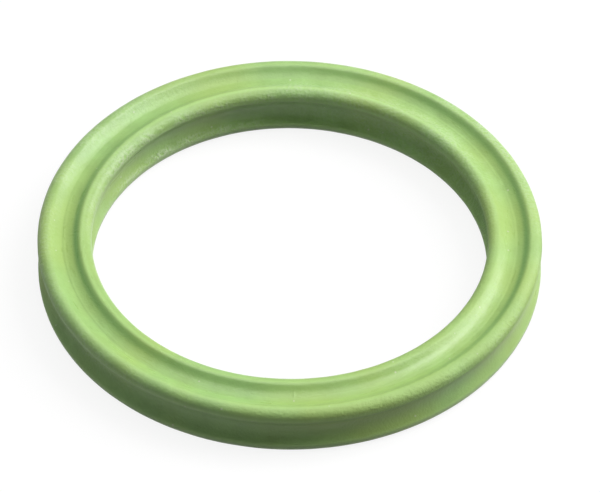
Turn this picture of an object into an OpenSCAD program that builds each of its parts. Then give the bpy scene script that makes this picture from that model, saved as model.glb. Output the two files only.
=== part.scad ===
// Four-lobed sealing ring (x-ring), moulded in one piece from green rubber.
// Its section is a square with a rounded lobe at each corner and a shallow groove along each side.
// A round shoulder leads from each groove up to the lobe, and the section turns once round Z.
// The ring lies on its two lower lobes: z = 0 is the surface under it, and the origin is on its axis.

/* [Ring] */
// Inside diameter, across the crests of the inner lobes
inside_d = 38.7; // [20:0.1:80]
// Width and height of the square section
section_w = 5.3; // [4.5:0.1:7]

/* [Section] */
// Radius of each lobe, round the corner of the square
lobe_r = 0.95; // [0.7:0.01:1.3]
// Radius of the shoulder where a groove runs up to the crest of a lobe
shoulder_r = 0.6; // [0.3:0.01:0.8]
// Depth of each groove below the crests beside it
groove_depth = 0.58; // [0.3:0.01:0.75]

/* [Mould line] */
// Height of the fine ridge that the joint of the mould leaves in the upper and the lower groove
ridge_h = 0.05; // [0.03:0.01:0.12]
// Width of that ridge where it rises from the groove
ridge_w = 0.26; // [0.2:0.02:0.5]
// How far outwards the ridge lies from the middle of its groove
ridge_shift = 0.1; // [-0.3:0.05:0.3]

/* [Hidden] */
$fn = 96;
// Radius of the circle that the middle of the section runs along
ring_r = (inside_d + section_w) / 2;
// Distance of a lobe's centre from the section's middle, across and up
lobe_at = section_w / 2 - lobe_r;
// Distance of a shoulder's centre from the section's middle, towards its side of the section
shoulder_at = section_w / 2 - shoulder_r;
// How far one arc overlaps the next, so that the two arcs cross and don't just touch
arc_bite = 0.001;
// Radius of a groove's arc, which is groove_depth deep and runs into both of its shoulders
groove_r = (pow(lobe_at, 2) + pow(groove_depth, 2) - pow(arc_bite, 2))
    / (2 * (groove_depth - arc_bite)) - shoulder_r;
// Distance of its centre from the section's middle
groove_at = section_w / 2 - groove_depth + groove_r;
// Radius of the ridge's round top, and its centre's distance from the section's middle
ridge_r = (pow(ridge_w / 2, 2) + pow(ridge_h, 2)) / (2 * ridge_h);
ridge_at = groove_at - sqrt(pow(groove_r, 2) - pow(ridge_shift, 2)) + ridge_h - ridge_r;
// Material outside the section on each side of the square blank that it is cut from
blank_spare = 0.2;
rubber_green = [0.62, 0.77, 0.45];

// What is cut away outside one lobe, as far as the two grooves' centres
module corner() {
    difference() {
        polygon([[lobe_at, lobe_at], [0, groove_at], [groove_at, groove_at], [groove_at, 0]]);
        translate([lobe_at, lobe_at]) circle(r = lobe_r);
    }
}

// What is cut away above the shoulder between a lobe's crest and the groove's arc
module shoulder() {
    difference() {
        polygon([[0, groove_at], [lobe_at, shoulder_at], [lobe_at, groove_at]]);
        translate([lobe_at, shoulder_at + arc_bite]) circle(r = shoulder_r);
    }
}

module groove() {
    translate([0, groove_at]) circle(r = groove_r);
}

// Groove that leaves the mould line's ridge standing
module ridged_groove() {
    difference() {
        groove();
        translate([ridge_shift, ridge_at]) circle(r = ridge_r);
    }
}

module section() {
    difference() {
        square(section_w + 2 * blank_spare, center = true);
        for (turn = [0, 90, 180, 270]) rotate(turn) corner();
        for (turn = [0, 90, 180, 270]) rotate(turn) shoulder();
        for (turn = [0, 90, 180, 270]) rotate(turn) mirror([1, 0]) shoulder();
        for (turn = [90, 270]) rotate(turn) groove();
        ridged_groove();
        mirror([0, 1]) ridged_groove();
    }
}

module x_ring() {
    color(rubber_green)
        translate([0, 0, section_w / 2])
            rotate_extrude() translate([ring_r, 0]) section();
}

x_ring();
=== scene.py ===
import bpy
import numpy as np
from mathutils import Matrix, Vector


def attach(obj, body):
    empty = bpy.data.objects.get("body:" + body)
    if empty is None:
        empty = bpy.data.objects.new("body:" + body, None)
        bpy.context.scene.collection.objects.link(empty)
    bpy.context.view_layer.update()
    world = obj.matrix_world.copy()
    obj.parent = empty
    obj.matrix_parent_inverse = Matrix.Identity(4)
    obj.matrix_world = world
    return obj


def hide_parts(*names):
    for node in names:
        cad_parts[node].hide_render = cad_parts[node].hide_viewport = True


# A green x-ring lying on a pale table. Lengths are in metres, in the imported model's frame:
# the table is z = 0 and the ring's axis is the z axis.
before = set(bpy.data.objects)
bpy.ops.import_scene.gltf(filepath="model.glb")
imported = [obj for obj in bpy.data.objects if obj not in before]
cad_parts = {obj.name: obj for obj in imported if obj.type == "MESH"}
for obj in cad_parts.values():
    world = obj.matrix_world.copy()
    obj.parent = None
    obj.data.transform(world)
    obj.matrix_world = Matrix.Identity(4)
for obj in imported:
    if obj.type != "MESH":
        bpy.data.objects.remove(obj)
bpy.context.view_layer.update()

# The ring
# A four-lobed sealing ring, moulded in one piece from green rubber. Its square section has a
# round lobe at each corner and a shallow groove along each side, and the joint of the two mould
# halves leaves a fine ridge in the upper and the lower groove.
MM = 0.001
RING_R = 22.0 * MM              # radius of the circle that the middle of the section runs along
SECTION_W = 5.3 * MM            # width and height of the section
LOBE_ACROSS = 0.98 * MM         # from a lobe's upper crest out to its side
LOBE_UP = 0.92 * MM             # from the crest on its side up to its top
LOBE_POWER = 2.2                # 2 would make a lobe's outline a quarter of an ellipse
SHOULDER_R = 0.6 * MM           # radius where a groove runs up to a lobe's crest
SIDE_DEPTH = 0.58 * MM          # depth of the two grooves round the sides
FLANK_TILT = np.radians(35)     # slope of the upper and lower grooves' straight flanks
FLANKED_R = 1.75 * MM           # radius of the arc between those flanks
VALLEY_H = 0.018 * MM           # how far the mould's joint lies below that arc
STEP_H = 0.032 * MM             # how much lower still the rubber lies outside the joint
VALLEY_W = 0.8 * MM             # how far to each side that dip reaches
RIDGE_H = 0.012 * MM            # height of the ridge along the joint
RIDGE_W = 0.26 * MM             # width of that ridge
RIDGE_SHIFT = 0.1 * MM          # how far outwards it lies from the middle of its groove
UNEVEN = 0.006 * MM             # unevenness of the moulded surface
AROUND = 690                    # steps round the ring, closer together at the marks
CLOSER = 7                      # how many times as close they are at a mark
MARK_REACH = np.radians(1.0)    # how far from a mark they spread out again
LOBE_STEPS = 9                  # steps along each part of the section's outline
SHOULDER_STEPS = 5
SIDE_STEPS = 10
FLANK_STEPS = 9
RIDGE_STEPS = 6

# Nicks, scratches and nibs, and stretches where the mould line stands prouder: angle round the
# ring in degrees, place along the section's outline in mm, turn in degrees from the ring's
# direction, length and width in mm, and height in mm, inwards below zero
MARKS = [
    (271.35, 4.32, 80, 0.50, 0.20, 0.045),
    (180.45, 4.57, 60, 0.42, 0.16, 0.035),
    (179.73, 4.91, 120, 0.42, 0.16, 0.035),
    (189.99, 1.05, 20, 0.30, 0.20, -0.035),
    (191.25, 0.88, 10, 0.40, 0.20, -0.035),
    (341.50, 0.70, 12, 0.60, 0.22, -0.022),
    (339.80, 0.55, 28, 0.60, 0.22, -0.022),
    (103.68, 3.35, 0, 0.20, 0.20, 0.030),
    (18.18, 7.02, 35, 0.50, 0.16, -0.030),
    (16.29, 6.98, 35, 0.40, 0.16, -0.030),
    (69.85, 9.83, 70, 0.60, 0.18, -0.030),
    (190.00, 3.65, 0, 30.0, 0.18, 0.016),
    (332.00, 3.65, 0, 22.0, 0.16, 0.014),
    (45.00, 3.65, 0, 26.0, 0.18, 0.010),
]
# Soft patches: angle and place as above, length and width in mm, and strength. Dust with a
# painted sheen in it; painted shade in the creases; rubbed rubber, which is matt, or smooth and
# glossy below zero; and stretches where the crests' painted highlight is cut, or stronger below
# zero.
# Dust, partly real and partly a painted sheen and painted highlight
DUST_AND_SHEEN = [
    (128, 10.4, 20, 0.9, 0.9),
    (152, 6.5, 18, 2.0, 0.5),
    (124, 6.9, 40, 1.3, 0.4),
    (150, 1.8, 28, 2.2, 0.3),
    (38, 1.6, 26, 1.2, 0.5),
    (70, 4.7, 22, 1.6, 0.3),
    (332, 0.9, 20, 0.9, 0.3),
    (330, 4.4, 14, 1.6, 0.15),
    (88, 5.4, 10, 1.4, 0.3),
    (40, 5.1, 18, 2.2, 0.3),
    (205, 19.7, 16, 1.2, 0.4),
    (40, 8.4, 36, 5.0, 0.3),
    (208, 0.4, 28, 2.4, 0.3),
]
# Painted shade in the creases, strongest where they face away from the key lamp
CREASE_SHADE = [
    (222, 5.03, 44, 2.4, 0.35),
    (178, 4.60, 26, 2.4, 0.8),
    (25, 2.40, 60, 2.4, 0.5),
    (347, 2.60, 22, 1.8, 0.5),
    (300, 20.40, 30, 1.6, 0.4),
]
RUBBED = [
    (318, 0.9, 36, 2.4, 1.0),
    (270, 1.2, 30, 2.0, 0.5),
    (262, 18.0, 44, 5.0, 0.45),
    (12, 7.0, 34, 2.0, 1.0),
    (198, 0.6, 30, 1.8, 0.5),
    (315, 5.6, 26, 1.8, 0.7),
    (122, 6.7, 34, 1.2, 0.8),
    (330, 0.7, 30, 1.0, 0.5),
    (317, 4.7, 26, 1.0, -0.45),
    (100, 4.5, 24, 4.0, 0.5),
    (25, 9.8, 30, 4.0, 1.2),
    (200, 18.8, 30, 4.0, 1.0),
]
# Stretches where the crests' painted highlight is cut, or stronger below zero
CREST_HIGHLIGHT_CUT = [
    (60, 6.1, 48, 2.2, -0.9),
    (330, 1.7, 34, 1.8, 1.0),
    (328, 5.8, 34, 1.6, 1.0),
    (150, 1.6, 34, 1.8, 1.0),
]

crest_across = SECTION_W / 2 - LOBE_ACROSS      # from the section's middle out to a crest
crest_up = SECTION_W / 2 - LOBE_UP              # and up to a crest on its side
shoulder_at = SECTION_W / 2 - SHOULDER_R
side_r = (crest_up ** 2 + SIDE_DEPTH ** 2) / (2 * SIDE_DEPTH) - SHOULDER_R
side_at = SECTION_W / 2 - SIDE_DEPTH + side_r
side_tilt = np.arcsin(crest_up / (side_r + SHOULDER_R))


def arc(centre, radius, start, end, steps):
    """Points on a circle from one angle up to, but without, the other."""
    turn = np.linspace(start, end, steps, endpoint=False)
    return np.stack([centre[0] + radius * np.cos(turn), centre[1] + radius * np.sin(turn)], 1)


def side_groove():
    """A side's groove: its height is side_at less the root of side_r squared less the
    distance across squared."""
    reach = side_r * np.sin(side_tilt)
    across = np.linspace(reach, -reach, SIDE_STEPS, endpoint=False)
    return np.stack([across, side_at - np.sqrt(side_r ** 2 - across ** 2)], 1)


def flanked_groove(ridge_at):
    """The upper or the lower groove, with the mould line in it.

    A straight flank falls from each shoulder to an arc of FLANKED_R that it touches. The dip
    at the mould line is VALLEY_H, and STEP_H more outside the line, times the square of one
    less the distance from it over VALLEY_W. The ridge on it is RIDGE_H times one less the
    square of the distance from it, counted in half widths.
    """
    reach = crest_across - SHOULDER_R * np.sin(FLANK_TILT)
    top = shoulder_at + SHOULDER_R * np.cos(FLANK_TILT)
    touch = FLANKED_R * np.sin(FLANK_TILT)
    floor_at = top - (reach - touch) * np.tan(FLANK_TILT) + FLANKED_R * np.cos(FLANK_TILT)
    right, left = ridge_at + RIDGE_W / 2, ridge_at - RIDGE_W / 2
    across = np.concatenate([
        np.linspace(reach, right, FLANK_STEPS, endpoint=False),
        np.linspace(right, left, RIDGE_STEPS, endpoint=False),
        np.linspace(left, -reach, FLANK_STEPS, endpoint=False)])
    away = np.abs(across)
    flank = top - (reach - away) * np.tan(FLANK_TILT)
    floor = floor_at - np.sqrt(FLANKED_R ** 2 - np.minimum(away, touch) ** 2)
    from_line = across - ridge_at
    outer_part = np.clip(0.5 + np.sign(ridge_at) * from_line / RIDGE_W, 0, 1)
    fade = np.clip(1 - np.abs(from_line) / VALLEY_W, 0, None) ** 2
    dip = (VALLEY_H + STEP_H * outer_part) * fade
    ridge = RIDGE_H * np.clip(1 - (from_line / (RIDGE_W / 2)) ** 2, 0, None)
    return np.stack([across, np.where(away < touch, floor, flank) - dip + ridge], 1)


def lobe(width, height, tilt_before, tilt_after):
    """A lobe between two shoulders, each of which leaves its crest and turns down by a tilt.

    Over a quarter turn, the lobe goes from its centre by width times a power of the cosine
    and by height times the same power of the sine: the power two over LOBE_POWER.
    """
    right, top = SECTION_W / 2 - width, SECTION_W / 2 - height
    crest = np.pi / 2
    turn = np.linspace(0, crest, LOBE_STEPS, endpoint=False)
    power = 2 / LOBE_POWER
    across = right + width * np.cos(turn) ** power
    up = top + height * np.sin(turn) ** power
    return np.concatenate([
        arc((shoulder_at, top), SHOULDER_R, -tilt_before, 0, SHOULDER_STEPS),
        np.stack([across, up], 1),
        arc((right, shoulder_at), SHOULDER_R, crest, crest + tilt_after, SHOULDER_STEPS)])


def section_outline():
    """The whole section, anticlockwise: four lobes, each with the groove after it, and each a
    quarter turn on from the last."""
    before_flanked = lobe(LOBE_ACROSS, LOBE_UP, side_tilt, FLANK_TILT)
    before_side = lobe(LOBE_UP, LOBE_ACROSS, FLANK_TILT, side_tilt)
    quarters = [
        (before_flanked, flanked_groove(RIDGE_SHIFT)),
        (before_side, side_groove()),
        (before_flanked, flanked_groove(-RIDGE_SHIFT)),
        (before_side, side_groove())]
    turned = []
    for quarter, pieces in enumerate(quarters):
        cos, sin = np.cos(quarter * np.pi / 2), np.sin(quarter * np.pi / 2)
        turned.append(np.concatenate(pieces) @ np.array([[cos, sin], [-sin, cos]]))
    return np.concatenate(turned)


def angles_round_ring():
    """Angles round the ring, from equal parts of the sum of a count that grows evenly and
    CLOSER times as fast at each mark."""
    fine = np.linspace(0, 2 * np.pi, 36001)      # every hundredth of a degree
    count = np.ones_like(fine)
    for mark in MARKS:
        apart = (fine - np.radians(mark[0]) + np.pi) % (2 * np.pi) - np.pi
        count += (CLOSER - 1) * np.exp(-(apart / MARK_REACH) ** 2)
    so_far = np.concatenate([[0], np.cumsum((count[1:] + count[:-1]) / 2)])
    return np.interp(np.linspace(0, so_far[-1], AROUND, endpoint=False), so_far, fine)


outline = section_outline()
along = angles_round_ring()
ahead, behind = np.roll(outline, -1, 0), np.roll(outline, 1, 0)
outward = np.stack([ahead[:, 1] - behind[:, 1], behind[:, 0] - ahead[:, 0]], 1)
outward /= np.linalg.norm(outward, axis=1)[:, None]
step_lengths = np.linalg.norm(outline - behind, axis=1)
round_section = np.cumsum(step_lengths) - step_lengths[0]      # distance along the outline
section_length = step_lengths.sum()


def waves(seed, across_waves, around_waves, count):
    """Smooth uneven height, mostly between -1 and 1: a sum of cosines with whole numbers of
    waves round the ring and round the section, so that it closes on itself both ways."""
    draw = np.random.default_rng(seed)
    turns = draw.integers(-around_waves, around_waves + 1, count)
    laps = draw.integers(0, across_waves + 1, count)
    phases = draw.uniform(0, 2 * np.pi, count)
    lap = 2 * np.pi * round_section / section_length
    swing = turns[:, None, None] * along[:, None] + laps[:, None, None] * lap
    return np.cos(swing + phases[:, None, None]).sum(0) / np.sqrt(2 * count)


def bell(angle, place, turn, length, width):
    """One at a place on the ring's surface, falling off round it as a bell curve of a length
    and a width, turned from the ring's direction."""
    apart = (along - np.radians(angle) + np.pi) % (2 * np.pi) - np.pi
    forward = (apart * RING_R)[:, None]
    sideways = (round_section - place * MM)[None, :]
    sideways = (sideways + section_length / 2) % section_length - section_length / 2
    cos, sin = np.cos(np.radians(turn)), np.sin(np.radians(turn))
    lengthways = (forward * cos + sideways * sin) / (length * MM / 2)
    crossways = (sideways * cos - forward * sin) / (width * MM / 2)
    return np.exp(-lengthways ** 2 - crossways ** 2)


def ring_points():
    """The section carried round the axis: a point (across, up) of the outline at an angle
    goes to radius RING_R plus across, and to height half the section plus up, both moved
    along the section's normal by the unevenness there, and no lower than the table."""
    across, up = outline[None, :, 0], outline[None, :, 1]
    uneven = UNEVEN * waves(seed=3, across_waves=5, around_waves=60, count=60)
    for angle, place, turn, length, width, rise in MARKS:
        uneven = uneven + rise * MM * bell(angle, place, turn, length, width)
    radius = RING_R + across + uneven * outward[:, 0]
    height = np.maximum(SECTION_W / 2 + up + uneven * outward[:, 1], 0)
    return np.stack([radius * np.cos(along)[:, None], radius * np.sin(along)[:, None], height], 2)


def closed_grid(name, points):
    """A mesh of four-sided faces over a grid of points that closes on itself both ways."""
    rows, columns = points.shape[:2]
    index = np.arange(rows * columns).reshape(rows, columns)
    next_row = np.roll(index, -1, 0)
    faces = np.stack([index, next_row, np.roll(next_row, -1, 1), np.roll(index, -1, 1)], 2)
    mesh = bpy.data.meshes.new(name)
    mesh.vertices.add(rows * columns)
    mesh.vertices.foreach_set("co", points.reshape(-1).astype(np.float32))
    mesh.loops.add(faces.size)
    mesh.loops.foreach_set("vertex_index", faces.reshape(-1).astype(np.int32))
    mesh.polygons.add(rows * columns)
    mesh.polygons.foreach_set("loop_start", np.arange(0, faces.size, 4, dtype=np.int32))
    mesh.update(calc_edges=True)
    mesh.validate()
    mesh.shade_smooth()
    return mesh


ring_mesh = closed_grid("ring", ring_points())
ring = bpy.data.objects.new("ring", ring_mesh)
bpy.context.scene.collection.objects.link(ring)

# Each list becomes a mask on the mesh: dust with painted sheen, the creases' painted shade,
# rubbing, and cuts in the crests' painted highlight
for name, patches in (("dust_and_sheen", DUST_AND_SHEEN), ("crease_shade", CREASE_SHADE), ("rubbed", RUBBED), ("highlight_cut", CREST_HIGHLIGHT_CUT)):
    there = sum(strength * bell(angle, place, 0, length, width)
                for angle, place, length, width, strength in patches)
    mask = ring_mesh.attributes.new(name, "FLOAT", "POINT")
    mask.data.foreach_set("value", there.reshape(-1).astype(np.float32))

RUBBER_GREEN = (0.38, 0.612, 0.21, 1)
YELLOWED = (0.44, 0.61, 0.16, 1)
STREAK_GREEN = (0.30, 0.47, 0.15, 1)
# Painted highlight along the lobes' crests, where the lamps light them most
CREST_HIGHLIGHT_GREEN = (0.53, 0.80, 0.285, 1)
# Painted shade in the creases
CREASE_SHADE_GREEN = (0.22, 0.43, 0.13, 1)
# Dust, with a painted sheen
DUST_AND_SHEEN_GREEN = (0.63, 0.76, 0.49, 1)
SPECK_CREAM = (0.76, 0.80, 0.60, 1)
MOTTLE = 0.08               # how much the clouds lighten and darken the green
YELLOWED_PART = 0.6         # how far each of these replaces the colour below it, at most
STREAK_PART = 0.07
CREST_HIGHLIGHT_PART = 0.48
SPECK_PART = 0.55
# Bands of the section: creases, where shade is painted, and crests, where a highlight is painted
CREASE_AT = 1.1 * MM        # a crease's distance from the middle of its side of the section
CREASE_W = 1.0 * MM
CREST_AT = 1.7 * MM         # a crest's distance from the middle, as a crease's
CREST_W = 0.8 * MM          # width of the painted highlight along a lobe's crest
CLOUDS_PER_MM = 0.45
DRIFTS_PER_MM = 0.11
GRAINS_PER_MM = 3.4
SPECKS_PER_MM = 0.55
SPECK_EDGE = (0.04, 0.07)   # where a speck begins and ends to fade, in parts of their spacing
STREAKS_PER_MM = 2.2        # across the ring's direction
STREAKS_ROUND = 8           # the ring's radius in their noise, so small that it draws them out
ROUGHNESS = (0.26, 0.30)    # of plain rubber, from one streak to the next
DUST_ROUGHNESS = 0.3        # what full dust adds to that, and full rubbing
RUBBED_ROUGHNESS = 0.3
STREAK_RELIEF = 0.06        # height of the streaks, where the grain's is one
DUST_RELIEF = 4             # what full dust adds to the relief's height, where it is one on
RUBBED_RELIEF = 1.8         # plain rubber, and full rubbing
GRAIN_H = 0.027 * MM        # height that the relief is measured in


def add(tree, kind, inputs=None, **settings):
    """A new node with its settings, and with a constant on, or a link into, some inputs."""
    node = tree.nodes.new(kind)
    for name, value in settings.items():
        setattr(node, name, value)
    for socket, value in (inputs or {}).items():
        if isinstance(value, bpy.types.NodeSocket):
            tree.links.new(value, node.inputs[socket])
        else:
            node.inputs[socket].default_value = value
    return node


def maths(tree, operation, *values):
    """The result of a Math node on constants and other nodes' outputs."""
    return add(tree, "ShaderNodeMath", dict(enumerate(values)), operation=operation).outputs[0]


def ramp(tree, value, start, end, low=0.0, high=1.0, shape="LINEAR"):
    """A value that goes from low to high while another goes from start to end."""
    inputs = {"Value": value, "From Min": start, "From Max": end, "To Min": low, "To Max": high}
    return add(tree, "ShaderNodeMapRange", inputs, interpolation_type=shape).outputs[0]


def noise(tree, vector, scale, detail, roughness=0.5, **settings):
    """A noise texture, whose first output is its height."""
    inputs = {"Vector": vector, "Scale": scale, "Detail": detail, "Roughness": roughness}
    return add(tree, "ShaderNodeTexNoise", inputs, **settings)


def tinted(tree, colour, other, part):
    """A colour with a part of it replaced by another."""
    return add(tree, "ShaderNodeMix", {0: part, 6: colour, 7: other}, data_type="RGBA").outputs[2]


def rubber_wear_and_painted_light():
    """Node group for worn moulded rubber: it puts out its colour, roughness and fine height.

    Lengths inside are in mm. The smaller of a point's distances from the section's middle,
    across and up, tells how far it is from the middle of its side: creases lie in one band
    of that, and the lobes' crests in another. Cloudy noise mottles the colour, broader noise
    yellows it, and noise drawn out along the ring streaks it. Crests get a painted highlight
    unless it is cut there, creases get painted shade where the patches put it, and dust with a
    painted sheen in it and scattered specks lie on top. Dust and rubbing make the surface
    rougher and its grain higher.
    """
    group = bpy.data.node_groups.new("rubber wear and painted light", "ShaderNodeTree")
    group.interface.new_socket("Colour", in_out="INPUT", socket_type="NodeSocketColor")
    for name in ("Dust_and_sheen", "Crease_shade", "Rubbed", "Highlight_cut"):
        group.interface.new_socket(name, in_out="INPUT", socket_type="NodeSocketFloat")
    group.interface.new_socket("Colour", in_out="OUTPUT", socket_type="NodeSocketColor")
    for name in ("Roughness", "Height"):
        group.interface.new_socket(name, in_out="OUTPUT", socket_type="NodeSocketFloat")
    given = add(group, "NodeGroupInput").outputs

    place = add(group, "ShaderNodeTexCoord").outputs["Object"]
    in_mm = add(group, "ShaderNodeVectorMath", {0: place, 3: 1 / MM}, operation="SCALE").outputs[0]
    up = add(group, "ShaderNodeSeparateXYZ", {0: in_mm}).outputs["Z"]
    flattened = add(group, "ShaderNodeVectorMath", {0: in_mm, 1: (1, 1, 0)}, operation="MULTIPLY")
    flat = flattened.outputs[0]
    radius = add(group, "ShaderNodeVectorMath", {0: flat}, operation="LENGTH").outputs["Value"]
    heading = add(group, "ShaderNodeVectorMath", {0: flat}, operation="NORMALIZE").outputs[0]
    heading_axes = add(group, "ShaderNodeSeparateXYZ", {0: heading}).outputs

    off_across = maths(group, "ABSOLUTE", maths(group, "SUBTRACT", radius, RING_R / MM))
    off_up = maths(group, "ABSOLUTE", maths(group, "SUBTRACT", up, SECTION_W / 2 / MM))
    off_middle = maths(group, "MINIMUM", off_across, off_up)
    off_crease = maths(group, "ABSOLUTE", maths(group, "SUBTRACT", off_middle, CREASE_AT / MM))
    # The crease band, where shade is painted
    crease = ramp(group, off_crease, 0, CREASE_W / 2 / MM, 1, 0, "SMOOTHSTEP")
    off_crest = maths(group, "ABSOLUTE", maths(group, "SUBTRACT", off_middle, CREST_AT / MM))
    # The crest band, where a highlight is painted
    crest = ramp(group, off_crest, 0, CREST_W / 2 / MM, CREST_HIGHLIGHT_PART, 0, "SMOOTHSTEP")

    cloud = noise(group, in_mm, CLOUDS_PER_MM, detail=3, roughness=0.6).outputs[0]
    drift = noise(group, in_mm, DRIFTS_PER_MM, detail=1).outputs[0]
    grain = noise(group, in_mm, GRAINS_PER_MM, detail=2, roughness=0.6).outputs[0]
    drawn_out = add(group, "ShaderNodeCombineXYZ", {
        "X": maths(group, "MULTIPLY", radius, STREAKS_PER_MM),
        "Y": maths(group, "MULTIPLY", up, STREAKS_PER_MM),
        "Z": maths(group, "MULTIPLY", heading_axes["X"], STREAKS_ROUND)}).outputs[0]
    streaks = noise(group, drawn_out, scale=1, detail=2, noise_dimensions="4D")
    streak_w = maths(group, "MULTIPLY", heading_axes["Y"], STREAKS_ROUND)
    group.links.new(streak_w, streaks.inputs["W"])
    streak = streaks.outputs[0]

    ragged = ramp(group, cloud, 0.3, 0.55)
    stipple = ramp(group, grain, 0.38, 0.58)
    # Dust, with a painted sheen in some patches
    dust_and_sheen = maths(group, "MULTIPLY", given["Dust_and_sheen"], ragged)
    dust_and_sheen_seen = maths(group, "MULTIPLY", dust_and_sheen, stipple)
    cells = add(group, "ShaderNodeTexVoronoi", {"Vector": in_mm, "Scale": SPECKS_PER_MM})
    speck = ramp(group, cells.outputs["Distance"], *SPECK_EDGE, 1, 0)
    # The crests' painted highlight, less where it is cut
    crest_highlight = maths(group, "MULTIPLY", crest, maths(group, "SUBTRACT", 1, given["Highlight_cut"]))

    light = ramp(group, cloud, 0.3, 0.7, 1 - MOTTLE, 1 + MOTTLE)
    mottled = add(group, "ShaderNodeVectorMath", {0: given["Colour"], 3: light}, operation="SCALE")
    yellowing = ramp(group, drift, 0.4, 0.65, 0, YELLOWED_PART)
    colour = tinted(group, mottled.outputs[0], YELLOWED, yellowing)
    colour = tinted(group, colour, STREAK_GREEN, ramp(group, streak, 0.5, 0.75, 0, STREAK_PART))
    # Painted highlight on the crests
    colour = tinted(group, colour, CREST_HIGHLIGHT_GREEN, crest_highlight)
    # Painted shade in the creases
    colour = tinted(group, colour, CREASE_SHADE_GREEN, maths(group, "MULTIPLY", crease, given["Crease_shade"]))
    # Dust, with its painted sheen
    colour = tinted(group, colour, DUST_AND_SHEEN_GREEN, dust_and_sheen_seen)
    colour = tinted(group, colour, SPECK_CREAM, maths(group, "MULTIPLY", speck, SPECK_PART))

    gloss = ramp(group, streak, 0.3, 0.7, *ROUGHNESS)
    dulled = maths(group, "MULTIPLY_ADD", dust_and_sheen, DUST_ROUGHNESS, gloss)
    roughness = maths(group, "MULTIPLY_ADD", given["Rubbed"], RUBBED_ROUGHNESS, dulled)
    relief = maths(group, "MULTIPLY_ADD", streak, STREAK_RELIEF, grain)
    dusty = maths(group, "MULTIPLY_ADD", dust_and_sheen, DUST_RELIEF, 1)
    rougher = maths(group, "MULTIPLY_ADD", given["Rubbed"], RUBBED_RELIEF, dusty)
    height = maths(group, "MULTIPLY", relief, rougher)
    add(group, "NodeGroupOutput", {"Colour": colour, "Roughness": roughness, "Height": height})
    return group


rubber = bpy.data.materials.new("green rubber")
rubber.use_nodes = True
tree = rubber.node_tree
rubber_look = add(tree, "ShaderNodeGroup", node_tree=rubber_wear_and_painted_light())
rubber_look.inputs["Colour"].default_value = RUBBER_GREEN
# Read the masks: dust with painted sheen, painted crease shade, rubbing, and cuts in the crests'
# painted highlight
for name in ("Dust_and_sheen", "Crease_shade", "Rubbed", "Highlight_cut"):
    patch_mask = add(tree, "ShaderNodeAttribute", attribute_name=name.lower())
    tree.links.new(patch_mask.outputs["Fac"], rubber_look.inputs[name])
rubber_relief = add(tree, "ShaderNodeBump", {
    "Strength": 1, "Distance": GRAIN_H, "Height": rubber_look.outputs["Height"]})
rubber_shader = tree.nodes["Principled BSDF"]
tree.links.new(rubber_look.outputs["Colour"], rubber_shader.inputs["Base Color"])
tree.links.new(rubber_look.outputs["Roughness"], rubber_shader.inputs["Roughness"])
tree.links.new(rubber_relief.outputs["Normal"], rubber_shader.inputs["Normal"])
ring_mesh.materials.append(rubber)

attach(ring, "root")
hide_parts("x_ring")

# The table and the room
# A plain table top, white to the camera and in the gloss, like the paper of a product
# photograph, in a room that is dim on the camera's side and brighter behind the ring.
TABLE_W = 3.0
PAPER_GREY = (0.15, 0.15, 0.15, 1)
PAPER_WHITE = 0.88          # what the paper's own white adds, as the camera and gloss see it
ROOM_FRONT = 0.075          # the room's light from the camera's side
ROOM_BEHIND = 0.36          # and from behind the ring
ROOM_TURN = 0.3             # how far to each side of the middle the one turns into the other

half = TABLE_W / 2
table_mesh = bpy.data.meshes.new("table")
table_mesh.from_pydata([(-half, -half, 0), (half, -half, 0), (half, half, 0), (-half, half, 0)], [],
                       [(0, 1, 2, 3)])
table = bpy.data.objects.new("table", table_mesh)
bpy.context.scene.collection.objects.link(table)
paper = bpy.data.materials.new("white paper")
paper.use_nodes = True
tree = paper.node_tree
tree.nodes.clear()
ray = add(tree, "ShaderNodeLightPath").outputs
seen = maths(tree, "MAXIMUM", ray["Is Camera Ray"], ray["Is Glossy Ray"])
seen = maths(tree, "MAXIMUM", seen, ray["Is Transmission Ray"])
level = maths(tree, "MULTIPLY", seen, PAPER_WHITE)
paper_white = add(tree, "ShaderNodeEmission", {"Strength": level})
paper_dull = add(tree, "ShaderNodeBsdfDiffuse", {"Color": PAPER_GREY})
paper_sum = add(tree, "ShaderNodeAddShader", {0: paper_dull.outputs[0], 1: paper_white.outputs[0]})
add(tree, "ShaderNodeOutputMaterial", {"Surface": paper_sum.outputs[0]})
table_mesh.materials.append(paper)

world = bpy.data.worlds.new("studio")
bpy.context.scene.world = world
world.use_nodes = True
tree = world.node_tree
tree.nodes.clear()
way = add(tree, "ShaderNodeTexCoord").outputs["Generated"]
depth = add(tree, "ShaderNodeSeparateXYZ", {0: way}).outputs["Y"]
room = ramp(tree, depth, -ROOM_TURN, ROOM_TURN, ROOM_FRONT, ROOM_BEHIND, "SMOOTHSTEP")
room_light = add(tree, "ShaderNodeBackground", {"Strength": room})
add(tree, "ShaderNodeOutputWorld", {"Surface": room_light.outputs[0]})

# The lamps
# Three soft boxes: a tall key on the right, a smaller one above, and a faint cool one low down
# on the left.


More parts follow.
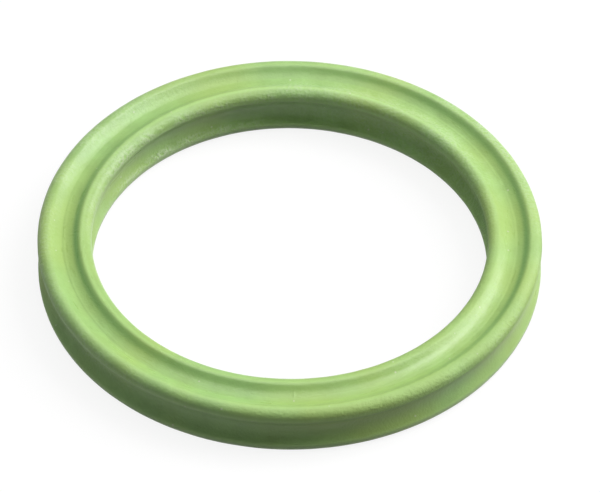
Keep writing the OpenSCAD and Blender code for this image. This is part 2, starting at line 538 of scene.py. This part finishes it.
def soft_box(name, azimuth, elevation, distance, width, height, power, colour=(1, 1, 1)):
    """A soft box that looks at the ring: azimuth from +X towards +Y and elevation in degrees,
    distance and size in metres, and power in watts."""
    a, e = np.radians(azimuth), np.radians(elevation)
    back = Vector((np.cos(a) * np.cos(e), np.sin(a) * np.cos(e), np.sin(e)))
    lamp = bpy.data.lights.new(name, "AREA")
    lamp.shape = "RECTANGLE"
    lamp.size = width
    lamp.size_y = height
    lamp.energy = power
    lamp.color = colour
    box = bpy.data.objects.new(name, lamp)
    bpy.context.scene.collection.objects.link(box)
    facing = back.to_track_quat("Z", "Y").to_matrix().to_4x4()
    box.matrix_world = Matrix.Translation(back * distance) @ facing
    box.visible_camera = False


soft_box("key", 18, 40, 0.7, 0.45, 0.7, 4.9)
soft_box("top", 58, 79, 0.7, 0.6, 0.6, 1.9)
soft_box("fill", 205, 12, 0.7, 0.5, 0.4, 0.25, (0.75, 0.95, 1.0))

# The camera
# It looks down at 45 degrees from far off, with a long lens.
CAMERA_ELEVATION = 0.79058      # radians
CAMERA_ROLL = 0.0073388
CAMERA_DISTANCE = 0.62935
CAMERA_SENSOR = 36              # mm
CAMERA_LENS = 385.72
CAMERA_SHIFT = (0.01718, 0.00748)

camera_data = bpy.data.cameras.new("camera")
camera = bpy.data.objects.new("camera", camera_data)
bpy.context.scene.collection.objects.link(camera)
bpy.context.scene.camera = camera
back = Vector((0, -np.cos(CAMERA_ELEVATION), np.sin(CAMERA_ELEVATION)))
right = Vector((1, 0, 0))
up = back.cross(right)
turned_right = right * np.cos(CAMERA_ROLL) + up * np.sin(CAMERA_ROLL)
turned_up = up * np.cos(CAMERA_ROLL) - right * np.sin(CAMERA_ROLL)
axes = Matrix((turned_right, turned_up, back)).transposed().to_4x4()
ring_middle = Vector((0, 0, SECTION_W / 2))
camera.matrix_world = Matrix.Translation(ring_middle + back * CAMERA_DISTANCE) @ axes
camera_data.sensor_fit = "HORIZONTAL"
camera_data.sensor_width = CAMERA_SENSOR
camera_data.lens = CAMERA_LENS
camera_data.shift_x, camera_data.shift_y = CAMERA_SHIFT

bpy.context.scene.view_settings.view_transform = "Standard"
